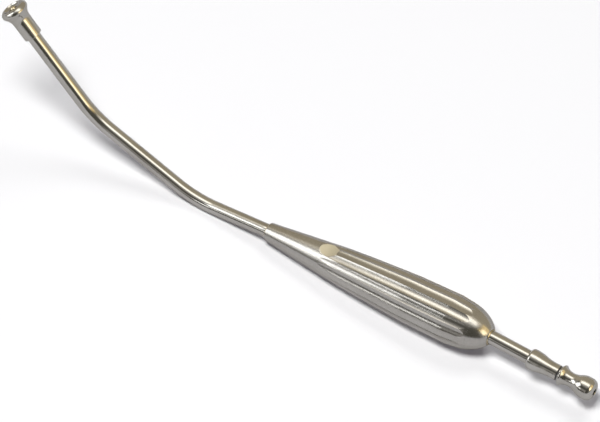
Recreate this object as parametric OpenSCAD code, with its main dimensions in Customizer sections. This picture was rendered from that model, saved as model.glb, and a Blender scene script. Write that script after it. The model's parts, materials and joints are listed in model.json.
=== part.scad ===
// Surgical suction tube with a flared, perforated mouth, a bent steel tube,
// a hollow fluted handle and an olive nipple for the suction hose.
// Lengths are millimetres. The tube lies in the XZ plane with its mouth at -X,
// and the instrument rests on the belly of its handle and on its first bend.

/* [Tube] */
// Outside diameter of the suction tube
tube_d = 6; // [5.4:0.1:6.4]
// Wall of the suction tube
tube_wall = 0.5; // [0.3:0.05:0.8]
// Nose of the handle to the corner of the first bend
first_l = 37.8; // [32:0.1:60]
// Corner of the first bend to the corner of the second
second_l = 56; // [45:1:80]
// Corner of the second bend to the plane of the mouth
third_l = 60.9; // [50:0.1:80]
// First bend, upward
bend_1 = 28.6; // [18:0.2:36]
// Second bend, upward
bend_2 = 26.4; // [15:0.2:40]
// Radius of both bends, on the centre line
bend_r = 40; // [28:1:48]
// Slight downward set of the tube where it leaves the nose
front_set = 3.1; // [1:0.1:5]
// Slight downward set of the tube where it leaves the dome
rear_set = 4.7; // [1:0.1:7]
// Radius of both sets, on the centre line
set_r = 30; // [20:1:40]
// Bare tube between the handle and the hose socket
rear_l = 17.6; // [12:0.1:40]

/* [Mouth] */
// Diameter of the mouth over its lip
mouth_d = 12.2; // [11:0.1:14]
// Radius of the thick rounded lip
lip_r = 1.9; // [1.2:0.05:2.1]
// Depth of the dished face inside the lip
dish_depth = 1.1; // [1:0.05:1.8]
// Outside diameter of the sleeve behind the flare
sleeve_d = 8.3; // [7.9:0.1:8.8]
// Length of the bell from lip to sleeve end
bell_l = 15.6; // [13:0.1:20]
// Lip to the start of the flare
flare_l = 7.3; // [6:0.1:9]
// Rounding of the sleeve's end
sleeve_round = 0.3; // [0.1:0.05:0.4]
// Bore of the throat behind the strainer
throat_d = 2.8; // [2:0.1:3]
// Lip to the shoulder that seals on the tube's end
shoulder_l = 6; // [4.5:0.1:7]

/* [Strainer] */
// Outside diameter of the perforated dome
dome_d = 3; // [2.6:0.1:3.2]
// Wall of the dome
dome_wall = 0.35; // [0.25:0.05:0.5]
// Diameter of each perforation
hole_d = 0.6; // [0.4:0.05:0.65]
// Diameter of the flange that the dome stands on
strainer_flange_d = 3.8; // [3.6:0.1:4.4]
// Thickness of that flange
strainer_flange_t = 0.5; // [0.3:0.05:0.7]
// Holes in the ring near the top of the dome
top_holes = 3; // [3:1:4]
// Holes in the ring round its flank
flank_holes = 6; // [4:1:7]

/* [Handle] */
// Length of the handle from nose to dome end
handle_l = 110.5; // [106:0.5:125]
// Outside diameter of the nose
nose_d = 8.1; // [7.8:0.1:9]
// Largest diameter of the handle
belly_d = 21.6; // [19:0.1:25]
// Length of the straight cone behind the nose
cone_l = 32; // [28:1:44]
// Widest point to the dome end
belly_back = 22.5; // [20:0.5:27]
// Length of the dome's ellipse
dome_l = 19.6; // [15:0.1:21]
// Wall of the hollow handle under its flutes
shell_wall = 1.2; // [0.8:0.05:1.6]
// Length of the dome cap behind its joint with the handle
cap_l = 7.5; // [6.5:0.1:8.4]
// Length of the cap's spigot inside the handle
spigot_l = 4; // [3:0.5:6]
// Diameter of the hub in the cap
hub_d = 10; // [9:0.1:12]

/* [Flutes] */
// Number of flutes round the handle, even so that one lies on top and one below, and it rests on two ridges
flutes = 18; // [12:2:24]
// Radius of the cutter that made them
flute_r = 4; // [3:0.1:6]
// Depth of a flute along its middle
flute_depth = 0.6; // [0.3:0.05:0.7]
// Nose to the pointed start of the flutes
flute_start = 29; // [22:1:32]
// Scalloped end of the flutes to the dome end
flute_back = 8.5; // [8.5:0.1:16]

/* [Thumb rest] */
// Nose to the middle of the oval
thumb_x = 31.2; // [24:0.1:36]
// Length of the oval
thumb_l = 9.2; // [7:0.1:12]
// Width of the oval
thumb_w = 6.9; // [5:0.1:8]

/* [Bushes] */
// Outside diameter of both bushes
bush_d = 7; // [6.8:0.05:7.2]
// Length of the nose bush inside the handle
nose_bush_l = 14; // [8:1:20]
// How far the nose bush stands out of the nose
nose_collar = 0.5; // [0.3:0.1:2]
// Length of the rear bush inside the cap
rear_bush_l = 11; // [8:1:14]
// How far the rear bush stands out of the dome
rear_collar = 0.4; // [0.2:0.1:1]
// Chamfer on the bushes' outer ends
bush_chamfer = 0.2; // [0.1:0.05:0.25]

/* [Hose socket] */
// Length of the socket
socket_l = 14.1; // [12:0.1:18]
// Largest diameter of the socket
socket_d = 8.9; // [8.2:0.1:10]
// Diameter of the socket's waist
waist_d = 6.7; // [6.3:0.1:7.4]
// Rounding of the socket's shoulder
shoulder_r = 1.4; // [0.6:0.1:1.4]
// Length of the straight waist
waist_l = 3; // [2.5:0.1:5]
// Depth that the tube reaches into the socket
tube_seat_l = 7; // [5:0.1:7]

/* [Hose nipple] */
// Diameter of the olive
olive_d = 9.7; // [8.6:0.1:11]
// Flat band round the olive where the hose grips
band_l = 1.2; // [0.8:0.1:2]
// Diameter of the neck
neck_d = 6; // [5:0.1:6.6]
// Diameter of the flange
flange_d = 9; // [8:0.1:10]
// Diameter of the land that presses on the washer
land_d = 7.2; // [6.8:0.1:7.6]
// Length of that land
land_l = 0.4; // [0.3:0.05:1.2]
// Rounding of the flange's rim
flange_round = 0.6; // [0.4:0.05:0.8]
// Bore of the nipple
nipple_bore_d = 3; // [2.4:0.1:3.2]
// Length of the nipple behind the washer
nipple_l = 16.5; // [16:0.1:24]
// Washer face to the middle of the neck
neck_x = 4.9; // [4.5:0.1:6]
// Rounding of the olive's end
olive_round = 3.1; // [2.4:0.1:3.4]
// Diameter of the threaded spigot
spigot_d = 4.4; // [4.2:0.1:4.6]
// Length of the threaded spigot
nipple_spigot_l = 5.5; // [5.2:0.1:5.6]
// Thickness of the sealing washer
washer_t = 0.8; // [0.5:0.1:1.2]
// Outside diameter of the sealing washer
washer_d = 6; // [5.8:0.1:6.4]

/* [Fits] */
// Radial gap of soldered and pressed pieces
solder_gap = 0.02; // [0.01:0.01:0.05]
// Radial gap of screwed pieces
thread_gap = 0.05; // [0.03:0.01:0.1]
// Thickness of the seal in the bell
seal_t = 0.6; // [0.4:0.1:1]
// Gap between faces that only rest on each other
face_gap = 0.02; // [0.01:0.01:0.05]

/* [Hidden] */
$fn = 96;

steel = [0.70, 0.67, 0.62];
satin_steel = [0.62, 0.59, 0.55];
warm_steel = [0.72, 0.66, 0.52];
seal_black = [0.12, 0.12, 0.12];

// Steps of the drawn curves
curve_steps = 12;
belly_steps = 6;
seam_steps = 4;
cavity_steps = 5;
dome_steps = 16;
edge_steps = 4;
// A cut runs this far past the face that it opens
past = 1;
// Chamfer on ends that are hidden when the instrument is together
hidden_chamfer = 0.3;
// Straight tube between a collar and the set beside it
set_clear = 0.1;
// A straight length of tube runs this far over the bend that it joins
joint_lap = 0.2;
// Bending draws the tube's wall in by this much on each side
bend_draw = 0.01;

tube_r = tube_d / 2;
lumen_r = tube_r - tube_wall;
bush_r = bush_d / 2;
bush_bore_r = bush_r + solder_gap;
nose_r = nose_d / 2;
belly_r = belly_d / 2;

// Places along the handle, counted from the nose
belly_x = handle_l - belly_back;
seam_x = handle_l - cap_l;
flute_end = handle_l - flute_back;

// Profile of the handle: a cone, a parabola tangent to it, a short parallel and an elliptic dome
cone_slope = (belly_r - nose_r) / (cone_l + (belly_x - cone_l) / 2);
dome_face_w = 0.2;
dome_face_r = bush_r + dome_face_w;
dome_x = handle_l - dome_l * sqrt(1 - pow(dome_face_r / belly_r, 2));
function handle_r(x) =
    x < cone_l ? nose_r + cone_slope * x
    : x < belly_x ? belly_r - cone_slope * pow(belly_x - x, 2) / (2 * (belly_x - cone_l))
    : x < dome_x ? belly_r
    : belly_r * sqrt(1 - pow((x - dome_x) / dome_l, 2));

// Flutes: the cutter dips in, follows the profile along straight runs as far as the dome and comes out on it
flute_runs = 4;
function flute_x(i) =
    i == flute_runs ? flute_end : flute_start + (dome_x - flute_start) * i / (flute_runs - 1);
function flute_bottom(i) = handle_r(flute_x(i)) - (i == 0 || i == flute_runs ? 0 : flute_depth);
// Ridge between two flutes, above their bottoms
function ridge_r(x, bottom) =
    min(handle_r(x), bottom + pow(PI * bottom / flutes, 2) / 2 * (1 / flute_r + 1 / bottom));

// Centre line, walked from the nose towards the mouth, as [x, z] in the handle's own frame
function heading(a) = [-cos(a), sin(a)];
set_tangent = set_r * tan(front_set / 2);
set_corner = [-(nose_collar + set_clear + set_tangent), 0];
first_heading = -front_set;
second_heading = first_heading + bend_1;
third_heading = second_heading + bend_2;
bend_1_corner = set_corner + (first_l + set_corner[0]) * heading(first_heading);
bend_2_corner = bend_1_corner + second_l * heading(second_heading);
mouth_point = bend_2_corner + third_l * heading(third_heading);
bend_1_tangent = bend_r * tan(bend_1 / 2);
bend_2_tangent = bend_r * tan(bend_2 / 2);
bend_1_start = bend_1_corner - bend_1_tangent * heading(first_heading);
bend_1_centre = bend_1_start + bend_r * [sin(first_heading), cos(first_heading)];

// Straight runs of the tube between its bends
set_start = nose_collar + set_clear;
first_run = first_l + set_corner[0] - set_tangent - bend_1_tangent;
second_run = second_l - bend_1_tangent - bend_2_tangent;
third_run = third_l - bend_2_tangent;
tip_run = third_run - shoulder_l - seal_t - face_gap;
rear_tangent = set_r * tan(rear_set / 2);
rear_set_start = handle_l + rear_collar + set_clear;
rear_run = rear_l - rear_collar - set_clear - rear_tangent;

// Resting place: the handle dips until its two lowest ridges and the first bend stand on one plane
function ridge_point(i) = [flute_x(i), -ridge_r(flute_x(i), flute_bottom(i)) * cos(180 / flutes)];
function dip_on(from) = -atan2(from[1], from[0]) - asin((bend_r + tube_r) / norm(from));
dip = max([for (i = [1:flute_runs - 1]) dip_on(ridge_point(i) - bend_1_centre)]);
lift = bend_r + tube_r - (bend_1_centre[0] * sin(dip) + bend_1_centre[1] * cos(dip));
function rest_x_of(p) = p[0] * cos(dip) - p[1] * sin(dip);

// Middle of the whole length, from the lip of the mouth to the end of the olive
mouth_r = mouth_d / 2;
lip_centre = mouth_point - lip_r * heading(third_heading);
low_x = rest_x_of(lip_centre) - (mouth_r - lip_r) * sin(third_heading - dip) - lip_r;
rear_heading = [cos(rear_set), -sin(rear_set)];
rear_corner = [rear_set_start + rear_tangent, 0];
olive_end = rear_corner + (rear_tangent + rear_run + socket_l + face_gap * 2 + washer_t + nipple_l) * rear_heading;
olive_centre = olive_end - olive_round * rear_heading;
olive_r = olive_d / 2;
high_x = rest_x_of(olive_centre) + (olive_r - olive_round) * sin(abs(rear_set - dip)) + olive_round;
mid_x = (low_x + high_x) / 2;

// Puts what is built on the handle's axis into its resting place
module rest() {
    translate([-mid_x, 0, lift]) rotate([0, -dip, 0]) children();
}

// Carries its children forward along the tube, which runs towards -X
module ahead(l) {
    translate([-l, 0, 0]) children();
}

// Carries its children round an upward bend
module round_bend(angle, radius) {
    translate([0, 0, radius]) rotate([0, angle, 0]) translate([0, 0, -radius]) children();
}

// Carries its children round the downward set in front of the nose
module round_set() {
    translate([0, 0, -set_r]) rotate([0, -front_set, 0]) translate([0, 0, set_r]) children();
}

// Carries its children round the downward set behind the dome
module round_rear_set() {
    translate([0, 0, -set_r]) rotate([0, rear_set, 0]) translate([0, 0, set_r]) children();
}

// A straight length of tube towards -X; laps = 1 leaves its far end free
module straight_tube(l, laps = 2) {
    ahead(-joint_lap) rotate([0, -90, 0]) linear_extrude(l + laps * joint_lap) difference() {
        circle(r = tube_r);
        circle(r = lumen_r);
    }
}

// A length of tube bent upward, starting at the origin towards -X
module bent_tube(angle, radius) {
    translate([0, 0, radius]) rotate([90, 0, 0]) rotate([0, 0, 270 - angle])
        rotate_extrude(angle = angle) translate([radius, 0]) difference() {
            circle(r = tube_r - bend_draw);
            circle(r = lumen_r + bend_draw);
        }
}

// A short length of tube set downward
module set_tube(angle) {
    mirror([0, 0, 1]) bent_tube(angle, set_r);
}

// The mouth's frame: its origin in the plane of the mouth, +Z outward along the tube
module at_mouth() {
    rest() ahead(set_start) round_set() ahead(first_run) round_bend(bend_1, bend_r)
        ahead(second_run) round_bend(bend_2, bend_r) ahead(third_run) rotate([0, -90, 0]) children();
}

// The socket's frame: its origin where the bare tube enters the socket, +Z outward along the tube
module at_socket() {
    rest() translate([rear_set_start, 0, 0]) round_rear_set()
        translate([rear_run, 0, 0]) rotate([0, 90, 0]) children();
}

// The washer's frame: its origin on the socket's end face
module at_washer() {
    at_socket() translate([0, 0, socket_l]) children();
}

// Points of an arc of radius r about c, from angle a0 to a1
function arc(c, r, a0, a1, steps = curve_steps) =
    [for (i = [0:steps]) c + r * [cos(a0 + (a1 - a0) * i / steps), sin(a0 + (a1 - a0) * i / steps)]];

// Two arcs of one radius that meet smoothly, from a waist at radius r0 to a crown at radius r1,
// both ends parallel to the axis
function wave(r0, z0, r1, z1) =
    let (rise = (r1 - r0) / 2, run = abs(z1 - z0) / 2, way = sign(z1 - z0))
    let (radius = (rise * rise + run * run) / (2 * rise), turn = asin(run / radius))
    concat(
        [for (i = [0:curve_steps]) let (a = turn * i / curve_steps)
            [r0 + radius * (1 - cos(a)), z0 + way * radius * sin(a)]],
        [for (i = [1:curve_steps]) let (a = turn * (1 - i / curve_steps))
            [r1 - radius * (1 - cos(a)), z1 - way * radius * sin(a)]]);

function reversed(points) = [for (i = [len(points) - 1:-1:0]) points[i]];

// Mouth
sleeve_r = sleeve_d / 2;
bell_bore_r = bush_r + thread_gap;
strainer_seat_r = strainer_flange_d / 2 + solder_gap;
// The flare is one arc, tangent to the sleeve and to the lip's rounding
lip_inset = sleeve_r - mouth_r + lip_r;
flare_drop = flare_l - lip_r;
flare_r = (pow(lip_inset, 2) + pow(flare_drop, 2) - pow(lip_r, 2)) / (2 * (lip_r - lip_inset));
flare_turn = asin(flare_drop / (flare_r + lip_r));
dish_edge_r = mouth_r - lip_r;
dish_flat_w = 0.1;
dish_flat_r = strainer_seat_r + dish_flat_w;
dish_r = (pow(dish_edge_r - dish_flat_r, 2) + pow(dish_depth, 2)) / (2 * dish_depth);
dish_turn = asin((dish_edge_r - dish_flat_r) / dish_r);

module suction_bell() {
    color(steel) at_mouth() rotate_extrude() polygon(concat(
        [[bell_bore_r, -bell_l], [sleeve_r - sleeve_round, -bell_l]],
        arc([sleeve_r - sleeve_round, -bell_l + sleeve_round], sleeve_round, -90, 0, edge_steps),
        arc([sleeve_r + flare_r, -flare_l], flare_r, 180, 180 - flare_turn),
        arc([dish_edge_r, -lip_r], lip_r, -flare_turn, 90),
        arc([dish_flat_r, dish_r - dish_depth], dish_r, dish_turn - 90, -90),
        [[strainer_seat_r, -dish_depth], [strainer_seat_r, -dish_depth - strainer_flange_t - face_gap],
         [throat_d / 2, -dish_depth - strainer_flange_t - face_gap], [throat_d / 2, -shoulder_l],
         [bell_bore_r, -shoulder_l]]));
}

// Strainer: a dome whose centre lies a little inside its flange, with two rings of holes
dome_r = dome_d / 2;
dome_sink = 0.15;
top_hole_tilt = 32;
flank_hole_tilt = 74;
// The rings are turned to the side of the dome that faces up and to -Y
hole_turn = -34;

module hole_ring(count, tilt, turn) {
    for (i = [0:count - 1]) rotate([0, 0, turn + i * 360 / count]) rotate([0, -tilt, 0])
        cylinder(d = hole_d, h = dome_r + past);
}

module strainer_dome() {
    inner_r = dome_r - dome_wall;
    color(warm_steel) at_mouth() translate([0, 0, -dish_depth]) difference() {
        rotate_extrude() difference() {
            union() {
                translate([0, -strainer_flange_t]) square([strainer_flange_d / 2, strainer_flange_t]);
                intersection() {
                    translate([0, -dome_sink]) circle(r = dome_r);
                    square([dome_r, dome_r]);
                }
            }
            translate([0, -dome_sink]) intersection() {
                circle(r = inner_r);
                translate([0, -dome_r]) square([dome_r, 2 * dome_r]);
            }
            translate([0, -strainer_flange_t - past]) square([inner_r, strainer_flange_t + past - dome_sink]);
        }
        translate([0, 0, -dome_sink]) {
            hole_ring(top_holes, top_hole_tilt, hole_turn);
            hole_ring(flank_holes, flank_hole_tilt, hole_turn + 180 / flank_holes);
        }
    }
}

// Seal between the tube's end and the bell's shoulder, reaching a little inside the tube's bore
seal_inset = 0.2;

module tip_seal() {
    color(seal_black) at_mouth() translate([0, 0, -shoulder_l - seal_t])
        difference() {
            cylinder(r = bush_r, h = seal_t - face_gap);
            translate([0, 0, -past]) cylinder(r = lumen_r - seal_inset, h = seal_t + 2 * past);
        }
}

// Threaded bush soldered on the tube's end; its thread is drawn as a plain cylinder
module tip_bush() {
    bush_l = bell_l - shoulder_l - seal_t - face_gap - sleeve_round;
    color(steel) at_mouth() translate([0, 0, -bell_l + sleeve_round])
        difference() {
            cylinder(r = bush_r, h = bush_l);
            translate([0, 0, -past]) cylinder(r = tube_r + solder_gap, h = bush_l + 2 * past);
        }
}

// Tube
module suction_tube() {
    color(steel) rest() {
        ahead(-rear_set_start) straight_tube(rear_set_start + set_start);
        ahead(set_start) {
            set_tube(front_set);
            round_set() {
                straight_tube(first_run);
                ahead(first_run) {
                    bent_tube(bend_1, bend_r);
                    round_bend(bend_1, bend_r) {
                        straight_tube(second_run);
                        ahead(second_run) {
                            bent_tube(bend_2, bend_r);
                            round_bend(bend_2, bend_r) straight_tube(tip_run, 1);
                        }
                    }
                }
            }
        }
        translate([rear_set_start, 0, 0]) {
            mirror([1, 0, 0]) set_tube(rear_set);
            round_rear_set() mirror([1, 0, 0]) straight_tube(rear_run + tube_seat_l, 1);
        }
    }
}

// A bush soldered between the tube and the handle, standing out of it by its chamfered collar
module bush(inside_l, collar) {
    rotate_extrude() polygon([
        [tube_r + solder_gap, -inside_l], [bush_r, -inside_l],
        [bush_r, collar - bush_chamfer], [bush_r - bush_chamfer, collar],
        [tube_r + solder_gap, collar]]);
}

module nose_bush() {
    color(warm_steel) rest() rotate([0, -90, 0]) bush(nose_bush_l, nose_collar);
}

module rear_bush() {
    color(warm_steel) rest() translate([handle_l, 0, 0]) rotate([0, 90, 0]) bush(rear_bush_l, rear_collar);
}

// Handle
nose_edge = 0.15;
// The cavity starts this far in front of the nose bush's inner end
cavity_lead = 2;
cavity_start = nose_bush_l - cavity_lead;
cavity_end = seam_x - spigot_l - face_gap;
function cavity_r(x) = max(bush_bore_r, handle_r(x) - shell_wall - flute_depth);
spigot_bore_r = handle_r(seam_x) - shell_wall;
spigot_r = spigot_bore_r - solder_gap;
// Curved parts of the profile, up to the joint with the cap
belly_xs = [for (i = [0:belly_steps]) cone_l + (belly_x - cone_l) * i / belly_steps];
seam_xs = [for (i = [0:seam_steps]) dome_x + (seam_x - dome_x) * i / seam_steps];
cavity_xs = [for (i = [0:cavity_steps]) cavity_end + (cavity_start - cavity_end) * i / cavity_steps];

module handle_blank() {
    rotate([0, 90, 0]) rotate_extrude() polygon(concat(
        [[bush_bore_r, 0], [nose_r - nose_edge, 0], [handle_r(nose_edge), nose_edge]],
        [for (x = belly_xs) [handle_r(x), x]],
        [for (x = seam_xs) [handle_r(x), x]],
        [[spigot_bore_r, seam_x], [spigot_bore_r, cavity_end]],
        [for (x = cavity_xs) [cavity_r(x), x]],
        [[bush_bore_r, cavity_start]]));
}

// One straight run of every flute; its round cutter runs on past both ends
module flute_run(i) {
    from = [flute_x(i), flute_bottom(i)];
    to = [flute_x(i + 1), flute_bottom(i + 1)];
    slope = atan2(to[1] - from[1], to[0] - from[0]);
    run = norm(to - from);
    for (k = [0:flutes - 1]) rotate([k * 360 / flutes, 0, 0])
        translate([from[0], 0, from[1]]) rotate([0, 90 - slope, 0])
            translate([-flute_r, 0, -run]) cylinder(r = flute_r, h = 3 * run);
}

// The oval rest is ground by a wheel held across the handle
module thumb_wheel() {
    crown_r = handle_r(thumb_x);
    depth = crown_r - sqrt(pow(crown_r, 2) - pow(thumb_w / 2, 2));
    wheel_r = pow(thumb_l / 2, 2) / (2 * depth) + depth / 2;
    translate([thumb_x, 0, crown_r]) rotate([0, -atan(cone_slope), 0])
        translate([0, 0, wheel_r - depth]) rotate([90, 0, 0])
            cylinder(r = wheel_r, h = 2 * thumb_w, center = true);
}

// The blank with its oval rest ground and its first runs of flutes cut, one run after another
module fluted_blank(runs) {
    difference() {
        if (runs > 0) fluted_blank(runs - 1);
        else handle_blank();
        if (runs > 0) flute_run(runs - 1);
        else thumb_wheel();
    }
}

module handle_body() {
    color(satin_steel) rest() fluted_blank(flute_runs);
}

// Dome cap with its spigot in the handle and a hub for the rear bush
module handle_cap() {
    dome_from = acos((seam_x - dome_x) / dome_l);
    dome_to = acos((handle_l - dome_x) / dome_l);
    hub_x = handle_l - rear_bush_l;
    web_x = handle_l - 4 * shell_wall;
    spigot_inner_r = spigot_r - shell_wall;
    color(satin_steel) rest() rotate([0, 90, 0]) rotate_extrude() polygon(concat(
        [[bush_bore_r, hub_x], [hub_d / 2, hub_x], [hub_d / 2, web_x],
         [spigot_inner_r, seam_x + shell_wall], [spigot_inner_r, seam_x - spigot_l],
         [spigot_r, seam_x - spigot_l], [spigot_r, seam_x + face_gap]],
        [for (i = [0:dome_steps]) let (a = dome_from + (dome_to - dome_from) * i / dome_steps)
            [belly_r * sin(a), max(seam_x + face_gap, dome_x + dome_l * cos(a))]],
        [[bush_bore_r, handle_l]]));
}

// Hose socket
shoulder_land = 0.5;

module hose_socket() {
    socket_r = socket_d / 2;
    waist_r = waist_d / 2;
    thread_bore_r = spigot_d / 2 + thread_gap;
    color(steel) at_socket() rotate_extrude() polygon(concat(
        [[tube_r + solder_gap, 0]],
        arc([socket_r - shoulder_r, shoulder_r], shoulder_r, -90, 0),
        reversed(wave(waist_r, socket_l - waist_l, socket_r, shoulder_r + shoulder_land)),
        [[waist_r, socket_l], [thread_bore_r, socket_l], [thread_bore_r, tube_seat_l + face_gap],
         [tube_r + solder_gap, tube_seat_l + face_gap]]));
}

module nipple_washer() {
    color(seal_black) at_washer() translate([0, 0, face_gap]) difference() {
        cylinder(d = washer_d, h = washer_t);
        translate([0, 0, -past]) cylinder(r = spigot_d / 2 + 2 * thread_gap, h = washer_t + 2 * past);
    }
}

// Hose nipple: spigot, land, flange, neck, olive; its thread is drawn as a plain cylinder
flange_turn = 42;
bore_chamfer = 0.15;

module hose_nipple() {
    bore_r = nipple_bore_d / 2;
    neck_r = neck_d / 2;
    flange_r = flange_d / 2;
    land_r = land_d / 2;
    spigot_end_z = -washer_t - nipple_spigot_l;
    rim_centre = [flange_r - flange_round, land_l + flange_round];
    rim_end = rim_centre + flange_round * [cos(flange_turn), sin(flange_turn)];
    flank_rise = rim_end[0] - neck_r;
    flank_run = neck_x - rim_end[1];
    flank_r = (pow(flank_rise, 2) + pow(flank_run, 2)) / (2 * flank_rise);
    flank_turn = asin(flank_run / flank_r);
    color(steel) at_washer() translate([0, 0, washer_t + 2 * face_gap]) rotate_extrude() polygon(concat(
        [[bore_r, spigot_end_z], [spigot_d / 2 - hidden_chamfer, spigot_end_z],
         [spigot_d / 2, spigot_end_z + hidden_chamfer], [spigot_d / 2, 0],
         [land_r, 0], [land_r, land_l]],
        arc(rim_centre, flange_round, -90, flange_turn, edge_steps),
        arc([neck_r + flank_r, neck_x], flank_r, 180 + flank_turn, 180),
        wave(neck_r, neck_x, olive_r, nipple_l - olive_round - band_l),
        arc([olive_r - olive_round, nipple_l - olive_round], olive_round, 0, 90),
        [[bore_r + bore_chamfer, nipple_l], [bore_r, nipple_l - bore_chamfer]]));
}

suction_bell();
strainer_dome();
tip_seal();
tip_bush();
suction_tube();
nose_bush();
handle_body();
handle_cap();
rear_bush();
hose_socket();
nipple_washer();
hose_nipple();
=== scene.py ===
"""The surgical suction tube: its visible pieces and their finishes, the floor, the light and the camera."""
import json
import math

import bmesh
import bpy
from mathutils import Matrix, Vector


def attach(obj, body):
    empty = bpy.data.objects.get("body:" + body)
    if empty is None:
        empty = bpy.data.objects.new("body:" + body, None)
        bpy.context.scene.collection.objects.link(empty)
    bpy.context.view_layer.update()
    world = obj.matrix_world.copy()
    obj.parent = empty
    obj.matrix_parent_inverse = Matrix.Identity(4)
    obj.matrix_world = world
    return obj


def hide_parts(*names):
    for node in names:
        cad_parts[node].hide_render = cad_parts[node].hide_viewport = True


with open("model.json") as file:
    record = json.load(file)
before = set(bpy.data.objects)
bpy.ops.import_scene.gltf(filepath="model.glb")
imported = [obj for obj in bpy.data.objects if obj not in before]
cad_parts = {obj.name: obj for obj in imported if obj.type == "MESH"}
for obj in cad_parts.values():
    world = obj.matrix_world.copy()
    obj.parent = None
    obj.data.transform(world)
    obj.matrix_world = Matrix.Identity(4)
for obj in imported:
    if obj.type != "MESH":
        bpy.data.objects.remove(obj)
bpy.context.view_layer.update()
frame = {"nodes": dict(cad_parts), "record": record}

scene = bpy.context.scene
MM = 0.001

# The photograph's view
PHOTO_W = 600
SENSOR_MM = 36.0
FOCAL_PX = 4784.88
VIEW_AZIMUTH = 33.283
VIEW_ELEVATION = 51.544
VIEW_DISTANCE_MM = 2000.0
VIEW_TARGET_MM = (2.206, 0.0, 31.13)

# Tube, in millimetres and degrees as the solids have them
TUBE_R = 3.0
LUMEN_R = 2.5
FIRST_L = 37.8
SECOND_L = 56.0
THIRD_L = 60.9
BEND_1 = 28.6
BEND_2 = 26.4
BEND_R = 40.0
FRONT_SET = 3.1
REAR_SET = 4.7
SET_R = 30.0
REAR_L = 17.6
SET_CLEAR = 0.1

# Mouth piece
MOUTH_R = 6.1
LIP_R = 1.9
DISH_DEPTH = 1.1
DISH_LAND = 0.1
SLEEVE_R = 4.15
BELL_L = 15.6
FLARE_L = 7.3
SLEEVE_ROUND = 0.3
THROAT_R = 1.4
SHOULDER_L = 6.0
SEAL_T = 0.6

# Strainer
DOME_R = 1.5
DOME_WALL = 0.35
HOLE_R = 0.3
STRAINER_FLANGE_R = 1.9
STRAINER_FLANGE_T = 0.5
DOME_SINK = 0.15
TOP_HOLES = 3
FLANK_HOLES = 6
TOP_HOLE_TILT = 32.0
FLANK_HOLE_TILT = 74.0
HOLE_TURN = -34.0

# Handle
HANDLE_L = 110.5
NOSE_R = 4.05
BELLY_R = 10.8
CONE_L = 32.0
BELLY_BACK = 22.5
DOME_L = 19.6
DOME_FACE_W = 0.2
SHELL_WALL = 1.2
CAP_L = 7.5
SPIGOT_L = 4.0
HUB_R = 5.0
NOSE_EDGE = 0.15
CAVITY_LEAD = 2.0
FLUTES = 18
FLUTE_DEPTH = 0.6
# The visible flutes follow the photograph: 0.1 mm shallower than the solid's, and cut with a wider round
SEEN_FLUTE_R = 5.5
SEEN_FLUTE_DEPTH = 0.5
FLUTE_START = 29.0
FLUTE_BACK = 8.5
FLUTE_RUNS = 4
RUN_BLEND = 0.1
THUMB_X = 31.2
THUMB_L = 9.2
THUMB_W = 6.9

# Bushes
BUSH_R = 3.5
NOSE_BUSH_L = 14.0
NOSE_COLLAR = 0.5
REAR_BUSH_L = 11.0
REAR_COLLAR = 0.4
BUSH_CHAMFER = 0.2

# Hose socket, washer and nipple
SOCKET_L = 14.1
SOCKET_R = 4.45
WAIST_R = 3.35
SHOULDER_R = 1.4
SHOULDER_LAND = 0.5
WAIST_L = 3.0
TUBE_SEAT_L = 7.0
WASHER_T = 0.8
OLIVE_R = 4.85
BAND_L = 1.2
NECK_R = 3.0
FLANGE_R = 4.5
LAND_R = 3.6
LAND_L = 0.4
FLANGE_ROUND = 0.6
FLANGE_TURN = 42.0
NIPPLE_BORE_R = 1.5
NIPPLE_L = 16.5
NECK_X = 4.9
OLIVE_ROUND = 3.1
SPIGOT_R = 2.2
NIPPLE_SPIGOT_L = 5.5
BORE_CHAMFER = 0.15

# Fits and threads
SOLDER_GAP = 0.02
THREAD_GAP = 0.05
FACE_GAP = 0.02
THREAD_PITCH = 1.0
THREAD_DEPTH = 0.28
# The groove is at its full depth a little before its middle, which leaves it a narrow flat floor
THREAD_FLAT = 1.15
# Rows of points to a turn
THREAD_ROWS = 10

# How finely the pieces are drawn; a rounded corner takes at most MOST_OF_SIDE of the sides beside it
ROUND = 96
TUBE_SIDES = 72
ARC_STEPS = 28
EDGE_STEPS = 4
SLEEVE_STEPS = 8
ROUND_STEPS = 16
STRAINER_STEPS = 20
FLARE_STEPS = 40
DOME_STEPS = 48
SHARP_ANGLE = 22.0
MOST_OF_SIDE = 0.45

# Differences that count as none
SAME_POINT = 1e-5
SAME_R = 1e-6
SAME_SHARE = 1e-4


# Places along the instrument
X_AXIS = Vector((1.0, 0.0, 0.0))
ACROSS = Vector((0.0, 1.0, 0.0))
joints = {j["name"]: j for j in frame["record"]["behaviour"]["joints"]}


def own_frame(origin, axis):
    """A frame in millimetres with +Z along a piece's axis and +Y across the instrument."""
    z = axis.normalized()
    x = ACROSS.cross(z)
    return Matrix.Translation(origin) @ Matrix((x, ACROSS, z)).transposed().to_4x4()


def joint_frame(name):
    """The frame of a screwed piece, from the joint that turns it."""
    return own_frame(Vector(joints[name]["pos_m"]) / MM, Vector(joints[name]["axis"]))


mouth = joint_frame("bell_turn")
washer = joint_frame("nipple_turn")


def forward(heading):
    """The direction towards the mouth at a heading in degrees above level."""
    a = math.radians(heading)
    return Vector((-math.cos(a), 0.0, math.sin(a)))


def upward(heading):
    """The direction out of the upper side of the tube at that heading."""
    a = math.radians(heading)
    return Vector((math.sin(a), 0.0, math.cos(a)))


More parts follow.
